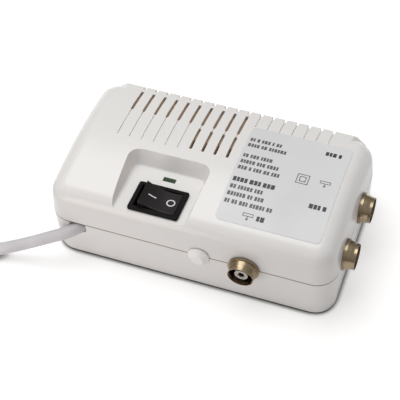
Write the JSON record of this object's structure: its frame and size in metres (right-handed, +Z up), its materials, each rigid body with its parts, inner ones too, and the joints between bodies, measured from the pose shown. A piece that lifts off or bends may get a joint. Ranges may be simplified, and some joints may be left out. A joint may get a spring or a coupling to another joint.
{
  "type": "television signal amplifier",
  "caption": "Mains-powered indoor aerial amplifier: white box with rocker switch, indicator, coaxial sockets and a fitted mains lead put away in a tied coil.",
  "frame": {"origin": "middle of the housing's flat underside, on the surface it stands on", "axes": "+X along the front to the end with two sockets, +Y from the front to the vented back, +Z up"},
  "size_m": [0.2396, 0.0983, 0.0384],
  "materials": {
    "cover_plastic": "glossy warm white",
    "label_foil": "satin light grey",
    "switch_plastic": "satin black",
    "rocker_plastic": "glossy black",
    "led_lens": "dark green window",
    "nickel": "nickel plate",
    "insulator_plastic": "white",
    "contact_brass": "plated brass",
    "plug_white": "white",
    "screw_steel": "zinc plate",
    "board": "phenolic board",
    "core_steel": "lacquered laminations",
    "bobbin_plastic": "natural nylon",
    "winding_tape": "yellow tape",
    "tinned_steel": "tin plate",
    "component_black": "moulded",
    "ferrite": "sintered",
    "capacitor_sleeve": "shrunk sleeve",
    "fuse_glass": "clear",
    "lead_jacket": "soft white vinyl",
    "core_insulation": "vinyl",
    "clamp_plastic": "moulded",
    "tie_plastic": "vinyl",
    "plug_body": "moulded white",
    "plug_pin": "nickel plate"
  },
  "bodies": {
    "housing": {"amplifier_transistors": "component_black", "blanking_plug": "plug_white", "board_screws": "screw_steel", "bottom_cover": "cover_plastic", "cable_tie": "tie_plastic", "clamp_screws": "screw_steel", "coax_in_contact": "contact_brass", "coax_in_insulator": "insulator_plastic", "coax_in_shell": "nickel", "coax_in_spring_sleeve": "nickel", "coax_out_1_contact": "contact_brass", "coax_out_1_insulator": "insulator_plastic", "coax_out_1_shell": "nickel", "coax_out_1_spring_sleeve": "nickel", "coax_out_2_contact": "contact_brass", "coax_out_2_insulator": "insulator_plastic", "coax_out_2_shell": "nickel", "coax_out_2_spring_sleeve": "nickel", "cord_clamp": "clamp_plastic", "ferrite_rings": "ferrite", "fuse": "fuse_glass", "fuse_clips": "tinned_steel", "housing_screws": "screw_steel", "led_leads": "tinned_steel", "main_board": "board", "mains_cable": "lead_jacket", "mains_cable_coil": "lead_jacket", "mains_cable_end": "lead_jacket", "mains_cable_tail": "lead_jacket", "mains_cores": "core_insulation", "plug_body": "plug_body", "plug_pins": "plug_pin", "power_led": "led_lens", "rating_label": "label_foil", "rectifier_diodes": "component_black", "shield_box": "tinned_steel", "shield_lid": "tinned_steel", "smoothing_capacitors": "capacitor_sleeve", "switch_body": "switch_plastic", "switch_terminals": "contact_brass", "switch_wires": "core_insulation", "top_cover": "cover_plastic", "transformer_bobbin": "bobbin_plastic", "transformer_core": "core_steel", "transformer_winding": "winding_tape", "voltage_regulator": "component_black"},
    "rocker": {"rocker": "rocker_plastic", "switch_plunger": "screw_steel", "switch_spring": "screw_steel"},
    "contact_blade": {"contact_blade": "contact_brass"}
  },
  "joints": [
    {"name": "rocker_tilt", "type": "hinge", "parent": "housing", "child": "rocker", "pos_m": [-0.0143, -0.02236, 0.03151], "axis": [0, -0.9949, 0.1011], "range_deg": [0, 25]},
    {"name": "contact_tilt", "type": "hinge", "parent": "housing", "child": "contact_blade", "pos_m": [-0.0143, -0.02297, 0.02554], "axis": [0, -0.9949, 0.1011], "range_deg": [-16, 0]}
  ],
  "couplings": [
    {"joint": "contact_tilt", "follows": "rocker_tilt", "ratio": -0.64}
  ]
}
